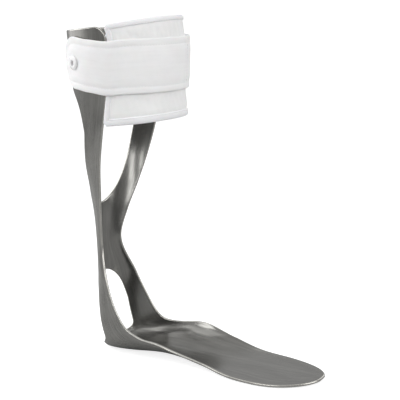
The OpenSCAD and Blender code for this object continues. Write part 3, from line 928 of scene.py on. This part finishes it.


# One laminate in two tones: the outer face is made lighter as painted light, and the inner face darker and
# glossier as painted shade.
composite_outer_lit = composite_material("composite_outer_face_painted_light", 0.252, 0.28)
composite_inner_shaded = composite_material("composite_inner_face_painted_shade", 0.208, 0.23)
foam_cloth = cloth_material("liner_cloth", (0.93, 0.93, 0.925), 1.1, 0.55, 1.0, sheen=0.3)
strap_cloth = cloth_material("strap_loop_cloth", (0.94, 0.938, 0.94), 0.9, 0.42, 0.8, sheen=0.4, streaky=0.3)
knit = cloth_material("lining_knit", (0.84, 0.84, 0.835), 1.6, 0.8, 1.3, sheen=0.45)
binding = cloth_material("edge_binding", (0.93, 0.93, 0.945), 0.6, 0.4, 1.2, sheen=0.25)
thread = plain_material("sewing_thread", (0.78, 0.78, 0.78), (0.88, 0.88, 0.88), 0.6,
                        grain=2500.0, depth=0.0001)
hook_tape = plain_material("hook_tape_nylon", (0.66, 0.66, 0.64), (0.76, 0.76, 0.74), 0.45,
                           grain=1400.0, depth=0.0001)
# The rims are coloured lighter than the faces: a painted highlight along the shell's trim edges.
rim_painted_highlight = plain_material("laminate_edge_painted_highlight", (0.34, 0.335, 0.31), (0.50, 0.49, 0.46), 0.24,
                           metallic=0.85, grain=1200.0, coat=0.3)
enamel = plain_material("white_enamel", (0.78, 0.78, 0.78), (0.86, 0.86, 0.86), 0.25, coat=0.6)
alloy = plain_material("rivet_alloy", (0.50, 0.50, 0.51), (0.66, 0.66, 0.67), 0.30,
                       metallic=1.0, grain=1600.0)


# ---------------------------------------------------------------- camera and stage
WORLD_POWER = 0.80
FLOOR_GLOW = 0.80
scene = bpy.context.scene
AIM = Vector((0.0763, 0.0, 0.1643))
AZIMUTH, ELEVATION, DISTANCE = math.radians(28.3), math.radians(12.0), 1.080
camera = bpy.data.objects.new("camera", bpy.data.cameras.new("camera"))
scene.collection.objects.link(camera)
back = Vector((math.sin(AZIMUTH) * math.cos(ELEVATION), -math.cos(AZIMUTH) * math.cos(ELEVATION),
               math.sin(ELEVATION)))
camera.location = AIM + back * DISTANCE
camera.rotation_euler = back.to_track_quat("Z", "Y").to_euler()
camera.data.lens = 98.55
camera.data.sensor_width = 36.0
camera.data.clip_start, camera.data.clip_end = 0.05, 50.0
scene.camera = camera


def floor_piece():
    me = bpy.data.meshes.new("floor")
    w, z = 12.0, -0.0002
    me.from_pydata([(-w, -w, z), (w, -w, z), (w, w, z), (-w, w, z)], [], [(0, 1, 2, 3)])
    m, t, s = material("pale_floor")
    s.inputs["Base Color"].default_value = (0.46, 0.46, 0.46, 1)
    s.inputs["Roughness"].default_value = 0.75
    s.inputs["Specular IOR Level"].default_value = 0.1
    glow, path, add = node(t, "Emission", Strength=FLOOR_GLOW), node(t, "LightPath"), node(t, "AddShader")
    pick = node(t, "MixShader")
    t.links.new(s.outputs[0], add.inputs[0])
    t.links.new(glow.outputs[0], add.inputs[1])
    t.links.new(path.outputs["Is Camera Ray"], pick.inputs[0])
    t.links.new(s.outputs[0], pick.inputs[1])
    t.links.new(add.outputs[0], pick.inputs[2])
    t.links.new(pick.outputs[0], t.nodes["Material Output"].inputs["Surface"])
    me.materials.append(m)
    ob = bpy.data.objects.new("floor", me)
    scene.collection.objects.link(ob)


def lamp(name, place, aim, size, power, spread=180):
    data = bpy.data.lights.new(name, "AREA")
    data.shape, data.size, data.size_y = "RECTANGLE", size[0], size[1]
    data.energy, data.spread = power, math.radians(spread)
    ob = bpy.data.objects.new(name, data)
    ob.location = place
    ob.rotation_euler = (Vector(place) - Vector(aim)).to_track_quat("Z", "Y").to_euler()
    ob.visible_camera = False
    scene.collection.objects.link(ob)


def world_light():
    w = bpy.data.worlds.new("studio")
    scene.world = w
    w.use_nodes = True
    t = w.node_tree
    t.nodes.clear()
    c = node(t, "TexCoord")
    split = node(t, "SeparateXYZ")
    t.links.new(c.outputs["Generated"], split.inputs[0])
    tall = ramp(t, maths(t, "ADD", maths(t, "MULTIPLY", split.outputs["Z"], 0.5), 0.5),
                (0.0, 0.12), (0.50, 0.12), (0.54, 0.16), (0.59, 0.60), (0.68, 0.85), (1.0, 1.0))
    side = ramp(t, maths(t, "ADD", maths(t, "MULTIPLY", split.outputs["X"], 0.5), 0.5),
                (0.0, 0.85), (0.5, 1.0), (0.9, 0.6))
    both = node(t, "Mix", data_type="RGBA", blend_type="MULTIPLY")
    both.inputs["Factor"].default_value = 1.0
    t.links.new(tall, both.inputs[6])
    t.links.new(side, both.inputs[7])
    seen, light, out = node(t, "Background"), node(t, "Background"), node(t, "OutputWorld")
    seen.inputs["Color"].default_value = (1, 1, 1, 1)
    seen.inputs["Strength"].default_value = 1.0
    t.links.new(both.outputs[2], light.inputs["Color"])
    light.inputs["Strength"].default_value = WORLD_POWER
    path, pick = node(t, "LightPath"), node(t, "MixShader")
    t.links.new(path.outputs["Is Camera Ray"], pick.inputs[0])
    t.links.new(light.outputs[0], pick.inputs[1])
    t.links.new(seen.outputs[0], pick.inputs[2])
    t.links.new(pick.outputs[0], out.inputs["Surface"])


floor_piece()
world_light()
lamp("key", (-0.3, -0.9, 1.6), (0.03, 0, 0.2), (1.4, 1.0), 3.8)
lamp("front", (0.08, -1.25, 0.70), (0.0, 0, 0.20), (0.95, 0.30), 4.1)
lamp("fill_right", (1.35, 0.1, 0.75), (0.03, 0, 0.22), (0.9, 1.0), 8.5)
lamp("floor_left", (-0.65, -0.20, 0.40), (-0.12, -0.17, 0.0), (0.90, 0.60), 2.0, spread=120)
lamp("rim_back", (0.3, 1.4, 0.9), (0.03, 0, 0.2), (1.2, 0.8), 3.5)
scene.view_settings.view_transform = "Standard"
scene.view_settings.look = "None"


# ---------------------------------------------------------------- the pieces
PRESSURE = 4.0                                 # how hard the cloth simulation swells the foam panels
body = shell()
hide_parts("shell")
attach(body, "brace")

panel("pad_front_panel_foam", FRONT, (END_W - 1, END_W - 1), (HEM_H - 1, HEM_T - 1), 2.3, True, 2.6, "flap",
      ["pad_front_panel"], ["pad_front_lining"])
hem("pad_front_binding_top", FRONT, ("high", HEM_T), "flap", "pad_front_hem_top")
hem("pad_front_binding_bottom", FRONT, ("low", HEM_H), "flap", "pad_front_hem_bottom")
hem("pad_front_binding_end", FRONT, ("left", END_W), "flap", "pad_front_hem_end")
hem("pad_front_binding_medial", FRONT, ("right", END_W), "flap", None)

panel("pad_back_panel_foam", BACK, (END_W - 1, END_W - 1), (HEM_T - 1, HEM_T - 1), 2.6, False, 1.6, "brace",
      ["pad_back_panel"], ["pad_back_lining"])
hem("pad_back_binding_top", BACK, ("high", HEM_T), "brace", "pad_back_hem_top")
hem("pad_back_binding_bottom", BACK, ("low", HEM_T), "brace", "pad_back_hem_bottom")
hem("pad_back_binding_medial", BACK, ("left", END_W), "brace", "pad_back_hem_medial")
hem("pad_back_binding_lateral", BACK, ("right", END_W), "brace", "pad_back_hem_lateral")
liner_fold()

ROOT_A = A_RIVET - math.degrees(STRAP_W / 2 / ARC_R)
CUT_SIDE, CUT_FRONT = -66.0, -2.0              # angles where the strap's lengths meet
strap_length("strap_root_side", ROOT_A, CUT_SIDE, STRAP_W / 2, 0,
             ["strap_root", "strap_side"])
strap_length("strap_over_front", CUT_SIDE, CUT_FRONT, 0, 0,
             ["strap_front"])
strap_length("strap_tip_end", CUT_FRONT, A_TIP, 0, 8.0, ["strap_tip"])

shift = TIP_SHIFT * (cuff(1.0, HINGE[2] + 90, 0.0) - cuff(0.0, 0.0, 0.0))
hook_plate("hook_tape_on_shell", 84, 100, -43, -7, lambda z, a: BAND_R + 1.12 + SLOPE * z,
           1, np.zeros(3), 0.6, "brace", ["strap_hook_patch"])
hook_plate("hook_tape_on_strap", 80, 97, -43, -7, lambda z, a: STRAP_IN - 0.5 + FRONT_SLOPE * z,
           -1, shift, 0.7, "strap_end", ["strap_hook_tab"])

CARRIED = {"rivet_cap": enamel, "rivet_post": alloy, "rivet_washer": alloy,
           "pad_hook_medial": hook_tape, "pad_hook_rear": hook_tape, "pad_hook_lateral": hook_tape}
for name, m in CARRIED.items():
    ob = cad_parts[name]
    ob.data.materials.clear()
    ob.data.materials.append(m)
    ob.data.polygons.foreach_set("use_smooth", np.ones(len(ob.data.polygons), bool))
    ob.data.set_sharp_from_angle(angle=math.radians(35))
